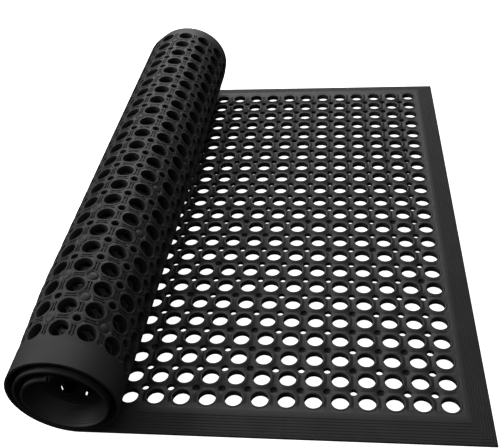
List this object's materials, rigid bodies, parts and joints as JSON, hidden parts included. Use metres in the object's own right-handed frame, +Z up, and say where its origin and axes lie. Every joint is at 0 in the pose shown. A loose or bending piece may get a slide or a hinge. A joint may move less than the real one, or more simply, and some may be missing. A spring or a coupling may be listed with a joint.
{
  "type": "rubber drainage mat",
  "caption": "Perforated rubber drainage mat with round holes and a bevelled border, lying flat at one end and rolled up over itself at the other.",
  "frame": {"origin": "on the floor, under the middle of the whole part as it lies", "axes": "+X from the roll towards the flat end, +Y across the mat's width from its front edge to its back edge, +Z up"},
  "size_m": [0.6336, 0.9298, 0.1662],
  "materials": {
    "rubber": "matte black moulded rubber, faintly mottled, with fine grooves along the border"
  },
  "bodies": {
    "root": {"mat": "rubber"}
  },
  "joints": []
}
